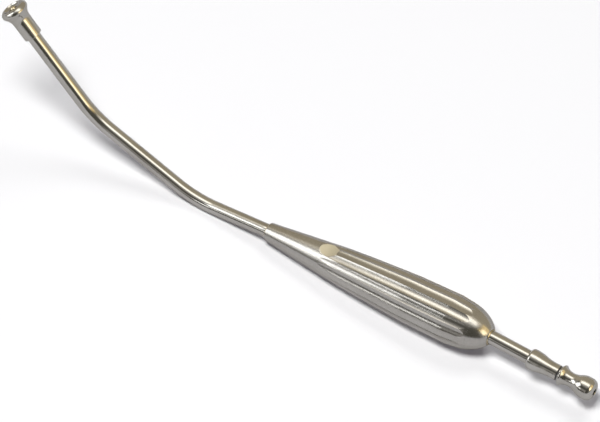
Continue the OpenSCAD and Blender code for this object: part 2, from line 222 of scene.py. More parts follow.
class Walk:
    """A walk along the tube's centre line towards the mouth; it leaves a station at each step."""

    def __init__(self, point, heading):
        self.stations = [(point.copy(), heading)]

    def ahead(self, length, steps=8):
        """Goes straight on."""
        point, heading = self.stations[-1]
        for i in range(1, steps + 1):
            self.stations.append((point + forward(heading) * length * i / steps, heading))

    def bend(self, angle, radius, steps=30):
        """Turns upward by angle, or downward where it is negative."""
        point, heading = self.stations[-1]
        side = 1 if angle > 0 else -1
        centre = point + upward(heading) * radius * side
        for i in range(1, steps + 1):
            now = heading + angle * i / steps
            self.stations.append((centre - upward(now) * radius * side, now))


def tangent(angle, radius):
    """Length that a bend takes from each of the straight runs beside it."""
    return radius * math.tan(math.radians(angle) / 2)


set_start = NOSE_COLLAR + SET_CLEAR
rear_set_start = HANDLE_L + REAR_COLLAR + SET_CLEAR
rear_run = REAR_L - REAR_COLLAR - SET_CLEAR - tangent(REAR_SET, SET_R)
first_run = FIRST_L - set_start - 2 * tangent(FRONT_SET, SET_R) - tangent(BEND_1, BEND_R)
second_run = SECOND_L - tangent(BEND_1, BEND_R) - tangent(BEND_2, BEND_R)
tip_run = THIRD_L - tangent(BEND_2, BEND_R) - SHOULDER_L - SEAL_T - FACE_GAP

washer_at = washer.translation
rear_out = washer.col[2].to_3d()
rear_heading = math.degrees(math.atan2(-rear_out.z, rear_out.x))
walk = Walk(washer_at - rear_out * (SOCKET_L - TUBE_SEAT_L), rear_heading)
walk.ahead(TUBE_SEAT_L, 2)
socket = own_frame(walk.stations[-1][0], rear_out)
walk.ahead(rear_run, 4)
walk.bend(-REAR_SET, SET_R, 6)
handle_heading = walk.stations[-1][1]
nose_at = walk.stations[-1][0] + forward(handle_heading) * rear_set_start
walk.ahead(rear_set_start + set_start, 12)
walk.bend(-FRONT_SET, SET_R, 4)
walk.ahead(first_run)
walk.bend(BEND_1, BEND_R)
walk.ahead(second_run)
walk.bend(BEND_2, BEND_R)
walk.ahead(tip_run)

# The handle's own frame has +X from its nose to its dome
handle = own_frame(nose_at, -forward(handle_heading)) @ Matrix.Rotation(math.radians(-90), 4, "Y")
nose = own_frame(nose_at, forward(handle_heading))
dome_end = own_frame(nose_at - forward(handle_heading) * HANDLE_L, -forward(handle_heading))

belly_x = HANDLE_L - BELLY_BACK
seam_x = HANDLE_L - CAP_L
flute_end = HANDLE_L - FLUTE_BACK
belly_run = belly_x - CONE_L
cone_slope = (BELLY_R - NOSE_R) / (CONE_L + belly_run / 2)
dome_x = HANDLE_L - DOME_L * math.sqrt(1 - ((BUSH_R + DOME_FACE_W) / BELLY_R) ** 2)
bush_bore_r = BUSH_R + SOLDER_GAP


def handle_r(x):
    """Radius of the handle before its flutes are cut, x millimetres behind the nose."""
    on_cone = min(x, CONE_L)
    past_cone = min(max(x - CONE_L, 0.0), belly_run)
    swell = past_cone - past_cone ** 2 / (2 * belly_run)
    on_dome = max(x - dome_x, 0.0) / DOME_L
    return (NOSE_R + cone_slope * (on_cone + swell)) * math.sqrt(1 - on_dome ** 2)


# Outlines of turned pieces, as (radius, height) pairs
def arc(centre, radius, start, end, steps=ARC_STEPS):
    """Points of an arc between two angles in degrees."""
    angles = [math.radians(start + (end - start) * i / steps) for i in range(steps + 1)]
    return [(centre[0] + radius * math.cos(a), centre[1] + radius * math.sin(a)) for a in angles]


def wave(r0, z0, r1, z1):
    """Two equal arcs that meet smoothly, from a waist at radius r0 to a crown at radius r1."""
    rise = (r1 - r0) / 2
    run = abs(z1 - z0) / 2
    way = 1 if z1 > z0 else -1
    radius = (rise ** 2 + run ** 2) / (2 * rise)
    turn = math.asin(run / radius)
    steps = [turn * i / ARC_STEPS for i in range(ARC_STEPS + 1)]
    low = [(r0 + radius * (1 - math.cos(a)), z0 + way * radius * math.sin(a)) for a in steps]
    high = [(r1 - radius * (1 - math.cos(a)), z1 - way * radius * math.sin(a)) for a in reversed(steps[:-1])]
    return low + high


def eased(outline, radius):
    """The closed outline with a small round on each of its sharp corners."""
    outline = [p for i, p in enumerate(outline) if (Vector(p) - Vector(outline[i - 1])).length > SAME_POINT]
    done = []
    for i, corner in enumerate(outline):
        before = Vector(outline[i - 1]) - Vector(corner)
        after = Vector(outline[(i + 1) % len(outline)]) - Vector(corner)
        turn = math.pi - before.angle(after)
        if math.degrees(turn) < SHARP_ANGLE:
            done.append(corner)
            continue
        cut = min(radius * math.tan(turn / 2), before.length * MOST_OF_SIDE, after.length * MOST_OF_SIDE)
        start = Vector(corner) + before.normalized() * cut
        end = Vector(corner) + after.normalized() * cut
        for k in range(EDGE_STEPS + 1):
            t = k / EDGE_STEPS
            point = start * (1 - t) ** 2 + Vector(corner) * 2 * t * (1 - t) + end * t ** 2
            done.append((point.x, point.y))
    return done


def thread_outline(radius, low, high):
    """Closely spaced rows for a thread between two heights."""
    rows = round((high - low) / THREAD_PITCH * THREAD_ROWS)
    return [(radius, low + (high - low) * i / rows) for i in range(rows + 1)]


def thread_cut(row_r, z, angle, thread):
    """Depth of the thread's groove at a height and an angle; thread is (radius, low, high)."""
    if thread is None or abs(row_r - thread[0]) > SAME_R or not thread[1] < z < thread[2]:
        return 0.0
    phase = (z / THREAD_PITCH - angle / math.tau) % 1.0
    flank = 1 - abs(2 * phase - 1)
    fade = min(1.0, (z - thread[1]) / THREAD_PITCH, (thread[2] - z) / THREAD_PITCH)
    return THREAD_DEPTH * min(1.0, flank * THREAD_FLAT) * fade


# Meshes
def shell(name, rings):
    """A piece from rings of equally many points; each ring is joined to the next, and the last to the first.
    Its UV map "lay" runs round the ring and along the rings, in millimetres."""
    count = len(rings[0])
    rows = len(rings)
    along = [0.0]
    for i in range(rows):
        along.append(along[-1] + (rings[(i + 1) % rows][0] - rings[i][0]).length)
    middle = [sum(ring, Vector()) / count for ring in rings]
    girth = math.tau * max((ring[0] - c).length for ring, c in zip(rings, middle))
    faces = []
    lay = []
    for i in range(rows):
        below = i * count
        above = (i + 1) % rows * count
        for k in range(count):
            n = (k + 1) % count
            faces.append((below + k, below + n, above + n, above + k))
            left, right = girth * k / count, girth * (k + 1) / count
            lay += [left, along[i], right, along[i], right, along[i + 1], left, along[i + 1]]
    mesh = bpy.data.meshes.new(name)
    mesh.from_pydata([p * MM for ring in rings for p in ring], [], faces)
    mesh.uv_layers.new(name="lay")
    mesh.uv_layers["lay"].uv.foreach_set("vector", lay)
    return finished(name, mesh)


def finished(name, mesh):
    """The mesh as a smooth piece with its faces outward and its real edges sharp."""
    loose = bmesh.new()
    loose.from_mesh(mesh)
    bmesh.ops.recalc_face_normals(loose, faces=loose.faces)
    loose.to_mesh(mesh)
    loose.free()
    mesh.shade_smooth()
    mesh.set_sharp_from_angle(angle=math.radians(SHARP_ANGLE))
    piece = bpy.data.objects.new(name, mesh)
    scene.collection.objects.link(piece)
    return piece


def turned(name, outline, place, thread=None, ease=0.08):
    """A piece turned from a closed outline about its own axis."""
    rings = []
    for radius, z in eased(outline, ease):
        ring = []
        for k in range(ROUND):
            a = math.tau * k / ROUND
            r = radius - thread_cut(radius, z, a, thread)
            ring.append(place @ Vector((r * math.cos(a), r * math.sin(a), z)))
        rings.append(ring)
    return shell(name, rings)


def tube_ring(station, radius, sides):
    """A ring round the tube at a station of the walk."""
    point, heading = station
    up = upward(heading)
    angles = [math.tau * k / sides for k in range(sides)]
    return [point + (up * math.cos(a) + ACROSS * math.sin(a)) * radius for a in angles]


def bent_tube():
    """The suction tube: its outer wall one way, its bore back again."""
    outer = [tube_ring(s, TUBE_R, TUBE_SIDES) for s in walk.stations]
    bore = [tube_ring(s, LUMEN_R, TUBE_SIDES) for s in reversed(walk.stations)]
    return shell("tube", outer + bore)


# Node trees
class Field:
    """A number or vector in a node tree; ordinary arithmetic on it adds Math nodes."""

    def __init__(self, tree, socket):
        self.tree = tree
        self.socket = socket

    def join(self, operation, *others):
        node = self.tree.nodes.new("ShaderNodeMath")
        node.operation = operation
        for i, value in enumerate((self,) + others):
            if isinstance(value, Field):
                self.tree.links.new(value.socket, node.inputs[i])
            else:
                node.inputs[i].default_value = value
        return Field(self.tree, node.outputs[0])

    def __add__(self, other):
        return self.join("ADD", other)

    def __sub__(self, other):
        return self.join("SUBTRACT", other)

    def __mul__(self, other):
        return self.join("MULTIPLY", other)

    def __truediv__(self, other):
        return self.join("DIVIDE", other)

    def least(self, other):
        return self.join("MINIMUM", other)

    def most(self, other):
        return self.join("MAXIMUM", other)

    def root(self):
        return self.most(0.0).join("SQRT")

    def below(self, other):
        return self.join("LESS_THAN", other)

    def pick(self, when_true, when_false):
        """Chooses where this is 1 or 0."""
        return (when_true - when_false) * self + when_false


class Nodes:
    """A node tree built up by short steps."""

    def __init__(self, tree):
        self.tree = tree

    def link(self, value, socket):
        self.tree.links.new(value, socket)

    def node(self, kind, inputs=(), **settings):
        """A node with its settings; an input is linked where its value comes from another node."""
        node = self.tree.nodes.new(kind)
        for key, value in settings.items():
            setattr(node, key, value)
        for key, value in dict(inputs).items():
            if isinstance(value, Field):
                value = value.socket
            if isinstance(value, bpy.types.NodeSocket):
                self.link(value, node.inputs[key])
            else:
                node.inputs[key].default_value = value
        return node

    def tint(self, share, dark, light):
        """A colour between two, by a share from 0 to 1; each is three numbers or a socket."""
        ends = [end if isinstance(end, bpy.types.NodeSocket) else (*end, 1.0) for end in (dark, light)]
        return self.node("ShaderNodeMix", {0: share, 6: ends[0], 7: ends[1]}, data_type="RGBA").outputs[2]


class Rule(Nodes):
    """A Geometry Nodes tree with named inputs, used once on a piece and then applied."""

    def __init__(self, name):
        super().__init__(bpy.data.node_groups.new(name, "GeometryNodeTree"))
        self.tree.interface.new_socket("Geometry", in_out="INPUT", socket_type="NodeSocketGeometry")
        self.tree.interface.new_socket("Geometry", in_out="OUTPUT", socket_type="NodeSocketGeometry")
        self.enter = self.tree.nodes.new("NodeGroupInput")
        self.leave = self.tree.nodes.new("NodeGroupOutput")
        self.values = {}

    def size(self, name, value):
        """A named input; its value is given to the modifier by the socket's identifier."""
        kind = "NodeSocketInt" if isinstance(value, int) else "NodeSocketFloat"
        socket = self.tree.interface.new_socket(name, in_out="INPUT", socket_type=kind)
        self.values[socket.identifier] = value
        return Field(self.tree, self.enter.outputs[name])

    def parts(self, vector):
        """The x, y and z of a vector socket."""
        split = self.node("ShaderNodeSeparateXYZ", {"Vector": vector})
        return [Field(self.tree, split.outputs[i]) for i in range(3)]

    def vector(self, x, y, z):
        return self.node("ShaderNodeCombineXYZ", {"X": x, "Y": y, "Z": z}).outputs[0]

    def apply_to(self, piece, geometry, material):
        """Ends the tree, runs it on the piece and leaves a plain mesh."""
        real = self.node("GeometryNodeRealizeInstances", {"Geometry": geometry})
        dress = self.node("GeometryNodeSetMaterial", {"Geometry": real.outputs[0], "Material": material})
        self.link(dress.outputs[0], self.leave.inputs[0])
        modifier = piece.modifiers.new(self.tree.name, "NODES")
        modifier.node_group = self.tree
        for identifier, value in self.values.items():
            modifier[identifier] = value
        seen = piece.evaluated_get(bpy.context.evaluated_depsgraph_get())
        mesh = bpy.data.meshes.new_from_object(seen)
        piece.modifiers.remove(modifier)
        name, old = piece.name, piece.data
        bpy.data.objects.remove(piece)
        bpy.data.meshes.remove(old)
        return name, mesh


# Handle: columns of the sheet in each flute, and the share of them that lies in the flute itself
FLUTE_COLUMNS = 18
FLUTE_SHARE = 14 / 18
# Least half width of a ridge's top and of a flute, in degrees round the handle
RIDGE_HALF = 0.16
FLUTE_HALF = 0.2
# Close rows go on this far past the thumb rest and the flutes, and wide ones lie between BARREL_FROM and
# BARREL_TO
THUMB_MARGIN = 0.3
FLUTE_MARGIN = 0.2
BARREL_FROM = 46.0
BARREL_TO = 84.0
CAVITY_STEPS = 12
# Rows within WHEEL_REACH times the rest's length of its middle are ground, and columns within SNAP_ANGLE
# degrees of the rest's edge move onto it
WHEEL_REACH = 0.6
SNAP_ANGLE = 0.9
WELD = 0.002


def spread(low, high, steps):
    """Places from low up to high, without high itself."""
    return [low + (high - low) * (i / steps) for i in range(steps)]


def handle_sheet():
    """The handle's wall as a flat sheet, whose points are x behind the nose, column and radius.
    The radius is 0 on the outside, where the rule works it out."""
    thumb_from = THUMB_X - THUMB_L / 2 - THUMB_MARGIN
    thumb_to = THUMB_X + THUMB_L / 2 + THUMB_MARGIN
    flutes_out = flute_end + FLUTE_MARGIN
    # Where each stretch of the outside starts and its number of rows
    stretches = [(NOSE_EDGE * 2, 8), (thumb_from, 60), (thumb_to, 40)]
    stretches += [(BARREL_FROM, 22), (BARREL_TO, 16), (dome_x, 40)]
    ends = [start for start, steps in stretches[1:]] + [flutes_out]
    outside = [NOSE_EDGE]
    for (start, steps), end in zip(stretches, ends):
        outside += spread(start, end, steps)
    outside += [flutes_out, (flutes_out + seam_x) / 2, seam_x]
    cavity_end = seam_x - SPIGOT_L - FACE_GAP
    cavity_start = NOSE_BUSH_L - CAVITY_LEAD

    def cavity_r(x):
        return max(bush_bore_r, handle_r(x) - SHELL_WALL - FLUTE_DEPTH)

    bore_r = handle_r(seam_x) - SHELL_WALL
    rows = [(0.0, NOSE_R - NOSE_EDGE)] + [(x, 0.0) for x in outside]
    rows += [(seam_x, bore_r), (cavity_end, bore_r), (cavity_end, cavity_r(cavity_end))]
    rows += [(x, cavity_r(x)) for x in reversed(spread(cavity_start, cavity_end, CAVITY_STEPS))]
    rows += [(cavity_start, bush_bore_r), (0.0, bush_bore_r), (0.0, NOSE_R - NOSE_EDGE)]
    columns = FLUTES * FLUTE_COLUMNS
    points = [(x, k, r) for x, r in rows for k in range(columns + 1)]
    faces = []
    lay = []
    for i in range(len(rows) - 1):
        for k in range(columns):
            a = i * (columns + 1) + k
            faces.append((a, a + 1, a + columns + 2, a + columns + 1))
            left = k * math.tau * BELLY_R / columns
            right = (k + 1) * math.tau * BELLY_R / columns
            low = rows[i][0]
            high = rows[i + 1][0]
            lay += [left, low, right, low, right, high, left, high]
    mesh = bpy.data.meshes.new("handle_sheet")
    mesh.from_pydata(points, [], faces)
    mesh.uv_layers.new(name="lay")
    mesh.uv_layers["lay"].uv.foreach_set("vector", lay)
    sheet = bpy.data.objects.new("handle", mesh)
    scene.collection.objects.link(sheet)
    return sheet


def fluted_handle(material):
    """Rolls the sheet up into the handle, cuts its flutes and grinds its oval thumb rest."""
    rule = Rule("Fluted handle")
    flutes = rule.size("Flutes", FLUTES)
    cutter = rule.size("Cutter radius", SEEN_FLUTE_R)
    nose_size = rule.size("Nose radius", NOSE_R)
    slope = rule.size("Cone slope", cone_slope)
    cone = rule.size("Cone length", CONE_L)
    swell_run = rule.size("Swell length", belly_run)
    dome_from = rule.size("Dome start", dome_x)
    dome_run = rule.size("Dome length", DOME_L)
    x, column, row_r = rule.parts(rule.node("GeometryNodeInputPosition").outputs[0])

    past_cone = (x - cone).most(0.0).least(swell_run)
    swell = past_cone - past_cone * past_cone / (swell_run * 2.0)
    barrel = nose_size + slope * (x.least(cone) + swell)
    on_dome = (x - dome_from).most(0.0) / dome_run
    blank = barrel * (on_dome * on_dome * -1.0 + 1.0).root()
    outside = row_r.below(SAME_R)
    crown = outside.pick(blank, row_r)

    # The cutter follows straight runs as far as the dome and comes out on it, blended where they meet
    places = spread(FLUTE_START, dome_x, FLUTE_RUNS - 1) + [dome_x, flute_end]
    depths = [0.0] + [SEEN_FLUTE_DEPTH] * (FLUTE_RUNS - 1) + [0.0]
    floors = [handle_r(at) - depth for at, depth in zip(places, depths)]
    bottom = None
    for i in range(FLUTE_RUNS):
        fall = rule.size(f"Run {i + 1} slope", (floors[i + 1] - floors[i]) / (places[i + 1] - places[i]))
        line = (x - places[i]) * fall + floors[i]
        bottom = line if bottom is None else bottom.join("SMOOTH_MIN", line, RUN_BLEND)
    bottom = bottom.least(blank)
    centre = bottom + cutter

    # Half the flute's width as an angle, then the columns shared between flute and land
    half = math.pi / FLUTES
    cosine = (centre * centre + blank * blank - cutter * cutter) / (centre * blank * 2.0)
    width = cosine.least(1.0).join("ARCCOSINE")
    width = width.most(math.radians(FLUTE_HALF)).least(half - math.radians(RIDGE_HALF))
    number = (column / FLUTE_COLUMNS + 0.5).join("FLOOR")
    share = (column / FLUTE_COLUMNS - number) * 2.0
    side = share.join("SIGN")
    off = share.join("ABSOLUTE")
    in_flute = off.below(FLUTE_SHARE + SAME_SHARE)
    on_land = width + (width * -1.0 + half) * (off - FLUTE_SHARE) / (1 - FLUTE_SHARE)
    swing = in_flute.pick(width * off / FLUTE_SHARE, on_land)
    across = swing.join("SINE") * centre
    floor_r = centre * swing.join("COSINE") - (cutter * cutter - across * across).root()
    inside_cutter = across.below(cutter)
    fluted = crown.least(inside_cutter.pick(floor_r, crown))
    turn = number * math.tau / flutes + swing * side

    # Oval thumb rest, ground by a wheel held across the handle
    crown_r = handle_r(THUMB_X)
    sag = crown_r - math.sqrt(crown_r ** 2 - (THUMB_W / 2) ** 2)
    wheel_size = (THUMB_L / 2) ** 2 / (2 * sag) + sag / 2
    lean = math.atan(cone_slope)
    wheel_r = rule.size("Wheel radius", wheel_size)
    wheel_x = rule.size("Wheel place", THUMB_X - (wheel_size - sag) * math.sin(lean))
    wheel_z = rule.size("Wheel height", crown_r + (wheel_size - sag) * math.cos(lean))
    off_wheel = x - wheel_x
    ground = wheel_z - (wheel_r * wheel_r - off_wheel * off_wheel).root()
    near = (x - THUMB_X).join("ABSOLUTE").below(THUMB_L * WHEEL_REACH)
    edge = (ground / fluted).least(1.0).join("ARCCOSINE")
    wrapped = (turn + math.pi).join("WRAP", 0.0, math.tau) - math.pi
    apart = wrapped.join("ABSOLUTE") - edge
    beside = apart.join("ABSOLUTE").below(math.radians(SNAP_ANGLE))
    snaps = beside * near * outside * (ground / fluted).below(1.0)
    turned_to = snaps.pick(edge * wrapped.join("SIGN"), wrapped)
    y = fluted * turned_to.join("SINE") * -1.0
    z = fluted * turned_to.join("COSINE")
    flat = near * outside * ground.below(z)
    z = flat.pick(ground, z)

    # What the finish needs is stored before the points move, because it is worked out from their places
    full_depth = ((blank - bottom) / SEEN_FLUTE_DEPTH).least(1.0)
    ridge = (off - FLUTE_SHARE).most(0.0) / (1 - FLUTE_SHARE) * full_depth
    marked = rule.node("GeometryNodeStoreNamedAttribute",
                       {"Geometry": rule.enter.outputs[0], "Name": "ridge", "Value": ridge * outside})
    rested = rule.node("GeometryNodeStoreNamedAttribute",
                       {"Geometry": marked.outputs[0], "Name": "rest", "Value": flat})
    round_place = rule.vector(x, y, z)
    rolled = rule.node("GeometryNodeSetPosition", {"Geometry": rested.outputs[0], "Position": round_place})
    closed = rule.node("GeometryNodeMergeByDistance", {"Geometry": rolled.outputs[0], "Distance": WELD})
    name, mesh = rule.apply_to(handle_sheet(), closed.outputs[0], material)
    mesh.transform(Matrix.Scale(MM, 4) @ handle)
    return finished(name, mesh)


# The strainer's outline stops just short of its axis, at this angle
CROWN_ANGLE = 89.0
CUTTER_SIDES = 20


def strainer_blank():
    """The strainer before its holes: a dome on a flange, hollow from behind."""
    inner_r = DOME_R - DOME_WALL
    rim = math.degrees(math.asin(DOME_SINK / DOME_R))
    outline = [(inner_r, -STRAINER_FLANGE_T), (STRAINER_FLANGE_R, -STRAINER_FLANGE_T)]
    outline += [(STRAINER_FLANGE_R, 0.0)]
    outline += arc((0.0, -DOME_SINK), DOME_R, rim, CROWN_ANGLE, STRAINER_STEPS)
    outline += arc((0.0, -DOME_SINK), inner_r, CROWN_ANGLE, 0.0, STRAINER_STEPS)
    place = mouth @ Matrix.Translation((0.0, 0.0, -DISH_DEPTH))
    return turned("strainer", outline, place, ease=0.05)


def perforated_strainer(material):
    """Drills the two rings of holes: a cutter on each point of a ring, turned outward."""
    rule = Rule("Strainer holes")
    hole = rule.size("Hole radius", HOLE_R * MM)
    reach = rule.size("Cutter length", DOME_R * 2 * MM)
    rings = []
    place = mouth @ Matrix.Translation((0.0, 0.0, -DISH_DEPTH - DOME_SINK))
    for label, count, tilt, offset in (("Top", TOP_HOLES, TOP_HOLE_TILT, 0.0),
                                       ("Flank", FLANK_HOLES, FLANK_HOLE_TILT, 180 / FLANK_HOLES)):
        holes = rule.size(f"{label} holes", count)
        tilt_by = rule.size(f"{label} hole tilt", math.radians(-tilt))
        turn_by = rule.size(f"{label} hole turn", math.radians(HOLE_TURN + offset))
        cutter = rule.node("GeometryNodeMeshCylinder", {"Vertices": CUTTER_SIDES, "Radius": hole,
                           "Depth": reach})
        raised = rule.node("GeometryNodeTransform", {"Geometry": cutter.outputs["Mesh"],
                           "Translation": rule.vector(0.0, 0.0, reach / 2.0)})
        points = rule.node("GeometryNodePoints", {"Count": holes})
        index = Field(rule.tree, rule.node("GeometryNodeInputIndex").outputs[0])
        turn = turn_by + index * math.tau / holes
        lean = rule.node("FunctionNodeAxisAngleToRotation", {"Axis": (0.0, 1.0, 0.0), "Angle": tilt_by})
        spin = rule.node("FunctionNodeAxisAngleToRotation", {"Axis": (0.0, 0.0, 1.0), "Angle": turn})
        both = rule.node("FunctionNodeRotateRotation", {"Rotation": lean.outputs[0],
                         "Rotate By": spin.outputs[0]})
        set_out = rule.node("GeometryNodeInstanceOnPoints", {"Points": points.outputs[0],
                            "Instance": raised.outputs[0], "Rotation": both.outputs[0]})
        rings.append(rule.node("GeometryNodeRealizeInstances", {"Geometry": set_out.outputs[0]}).outputs[0])
    cutters = rule.node("GeometryNodeJoinGeometry")
    for ring in rings:
        rule.link(ring, cutters.inputs[0])
    metres = place.copy()
    metres.translation *= MM
    placed = rule.node("GeometryNodeTransform", {"Geometry": cutters.outputs[0]}, mode="MATRIX")
    matrix = rule.node("FunctionNodeCombineMatrix")
    for col in range(4):
        for row in range(4):
            matrix.inputs[col * 4 + row].default_value = metres[row][col]
    rule.link(matrix.outputs[0], placed.inputs["Transform"])
    drilled = rule.node("GeometryNodeMeshBoolean", {"Mesh 1": rule.enter.outputs[0],
                        "Mesh 2": placed.outputs[0]}, operation="DIFFERENCE")
    name, mesh = rule.apply_to(strainer_blank(), drilled.outputs["Mesh"], material)
    return finished(name, mesh)


# Finishes: their tones, as the shader takes them
EDGE_TINT = (0.62, 0.60, 0.58, 1.0)
STEEL_DARK = (0.31, 0.297, 0.275)
STEEL_LIGHT = (0.37, 0.36, 0.34)
# Painted reflection: the golden tone of the bushes and the strainer stands in for warm light mirrored on them
WARM_REFLECTION_DARK = (0.38, 0.33, 0.23)
WARM_REFLECTION_LIGHT = (0.45, 0.40, 0.30)
SATIN_DARK = (0.31, 0.298, 0.28)
SATIN_LIGHT = (0.37, 0.358, 0.34)
SATIN_GRAIN = (0.21, 0.20, 0.185)
# Painted highlight and painted sheen: the ridges and the thumb rest are drawn paler than the satin, as where
# light catches them
RIDGE_HIGHLIGHT_STEEL = (0.46, 0.44, 0.40)
REST_SHEEN_STEEL = (0.56, 0.53, 0.44)
RUBBER_DARK = (0.012, 0.012, 0.013)
RUBBER_LIGHT = (0.035, 0.034, 0.033)
# The part of a noise's range that is used; values outside it are cut off
NOISE_LOW = 0.3
NOISE_HIGH = 0.7


class Finish(Nodes):
    """A Principled material built up by short steps."""

    def __init__(self, name):
        self.material = bpy.data.materials.new(name)
        self.material.use_nodes = True
        super().__init__(self.material.node_tree)
        self.shader = self.tree.nodes["Principled BSDF"]

    def object_place(self):
        """Object coordinates, in metres."""
        return self.node("ShaderNodeTexCoord").outputs["Object"]

    def lay_place(self, scale):
        """Millimetres round and along the piece, from its own UV map."""
        place = self.node("ShaderNodeUVMap", uv_map="lay")
        return self.node("ShaderNodeMapping", {"Vector": place.outputs[0], "Scale": scale}).outputs[0]

    def noise(self, place, scale, detail=3.0, roughness=0.5):
        node = self.node("ShaderNodeTexNoise", {"Vector": place, "Scale": scale, "Detail": detail,
                                                "Roughness": roughness})
        return node.outputs["Fac"]

    def range(self, noise, low, high):
        """A noise brought to the range from low to high."""
        node = self.node("ShaderNodeMapRange", {"Value": noise, "From Min": NOISE_LOW, "From Max": NOISE_HIGH,
                                                "To Min": low, "To Max": high})
        return node.outputs[0]

    def sum(self, a, b, operation="ADD"):
        """Two values added, or joined by another operation."""
        return self.node("ShaderNodeMath", {0: a, 1: b}, operation=operation).outputs[0]

    def bump(self, height, depth_mm):
        node = self.node("ShaderNodeBump", {"Height": height, "Strength": 1.0, "Distance": depth_mm * MM})
        self.link(node.outputs[0], self.shader.inputs["Normal"])

    def surface(self, colour, roughness):
        self.link(colour, self.shader.inputs["Base Color"])
        self.link(roughness, self.shader.inputs["Roughness"])

    def steel(self, colour, roughness):
        self.surface(colour, roughness)
        self.shader.inputs["Metallic"].default_value = 1.0
        self.shader.inputs["Specular Tint"].default_value = EDGE_TINT
        return self.material


def drawn_steel():
    """The polished tube: faint draw lines along it, fine rub marks round it, cloudy warm tint."""
    f = Finish("drawn_steel")
    cloud = f.noise(f.object_place(), scale=60.0)
    draw = f.noise(f.lay_place((2.2, 0.012, 1.0)), scale=1.0, detail=2.0)
    rub = f.noise(f.lay_place((0.16, 5.0, 1.0)), scale=1.0, detail=4.0, roughness=0.65)
    colour = f.tint(f.range(cloud, 0.0, 1.0), STEEL_DARK, STEEL_LIGHT)
    rough = f.sum(f.range(cloud, 0.09, 0.14), f.range(rub, 0.0, 0.05))
    f.bump(f.sum(draw, f.sum(rub, 0.6, "MULTIPLY")), depth_mm=0.006)
    return f.steel(colour, rough)


def turned_steel(name, dark, light, rough_low, rough_high):
    """Turned and polished steel: fine tool marks round the piece and a few rubbed patches."""
    f = Finish(name)
    cloud = f.noise(f.object_place(), scale=140.0)
    marks = f.noise(f.lay_place((0.05, 7.0, 1.0)), scale=1.0, roughness=0.6)
    specks = f.noise(f.object_place(), scale=1900.0, detail=2.0)
    colour = f.tint(f.range(cloud, 0.0, 1.0), dark, light)
    rough = f.sum(f.range(cloud, rough_low, rough_high), f.range(specks, 0.0, 0.06))
    f.bump(f.sum(marks, f.sum(specks, 0.5, "MULTIPLY")), depth_mm=0.008)
    return f.steel(colour, rough)


def satin_steel():
    """The handle: fine cross-brushing, a grained grey satin, ridges rubbed smoother and painted brighter as a
    highlight, and a matt thumb rest painted paler as a sheen of light from above.
    """
    f = Finish("satin_steel")
    cloud = f.noise(f.object_place(), scale=45.0, detail=4.0)
    brush = f.noise(f.lay_place((0.35, 6.0, 1.0)), scale=1.0, detail=4.0, roughness=0.7)
    grain = f.noise(f.object_place(), scale=1500.0)
    ridge = f.node("ShaderNodeAttribute", attribute_name="ridge").outputs["Fac"]
    clouded = f.tint(f.range(cloud, 0.0, 1.0), SATIN_DARK, SATIN_LIGHT)
    grained = f.tint(f.range(grain, 0.0, 0.28), clouded, SATIN_GRAIN)
    # Painted highlight: the ridges are drawn in a paler steel
    painted_ridge_highlight = f.tint(ridge, grained, RIDGE_HIGHLIGHT_STEEL)
    rubbed = f.sum(f.range(cloud, 0.15, 0.20), f.range(grain, 0.0, 0.06))
    rough = f.sum(rubbed, f.sum(ridge, 0.05, "MULTIPLY"), "SUBTRACT")
    rest = f.node("ShaderNodeAttribute", attribute_name="rest").outputs["Fac"]
    # Painted sheen: the thumb rest is drawn paler, as if lit from above
    ground = f.tint(rest, painted_ridge_highlight, REST_SHEEN_STEEL)
    matt = f.sum(rough, f.sum(rest, 0.28, "MULTIPLY"))
    f.bump(f.sum(brush, f.sum(grain, 0.8, "MULTIPLY")), depth_mm=0.012)
    return f.steel(ground, matt)


def black_rubber():
    """The seals: dull black with a fine mould grain."""
    f = Finish("black_rubber")
    grain = f.noise(f.object_place(), scale=2500.0)
    f.surface(f.tint(f.range(grain, 0.0, 1.0), RUBBER_DARK, RUBBER_LIGHT), f.range(grain, 0.5, 0.7))
    f.bump(grain, depth_mm=0.01)
    return f.material


drawn = drawn_steel()
polished = turned_steel("turned_steel", STEEL_DARK, STEEL_LIGHT, rough_low=0.10, rough_high=0.15)
# Painted reflection: this steel's golden tone is warm light drawn into its colour
warm = turned_steel("warm_steel", WARM_REFLECTION_DARK, WARM_REFLECTION_LIGHT, rough_low=0.12, rough_high=0.18)
satin = satin_steel()
rubber = black_rubber()


def settle(piece, body, material=None):
    """Gives a finished piece its material and the body that it rides on."""
    if material is not None:
        piece.data.materials.clear()
        piece.data.materials.append(material)
    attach(piece, body)
    return piece


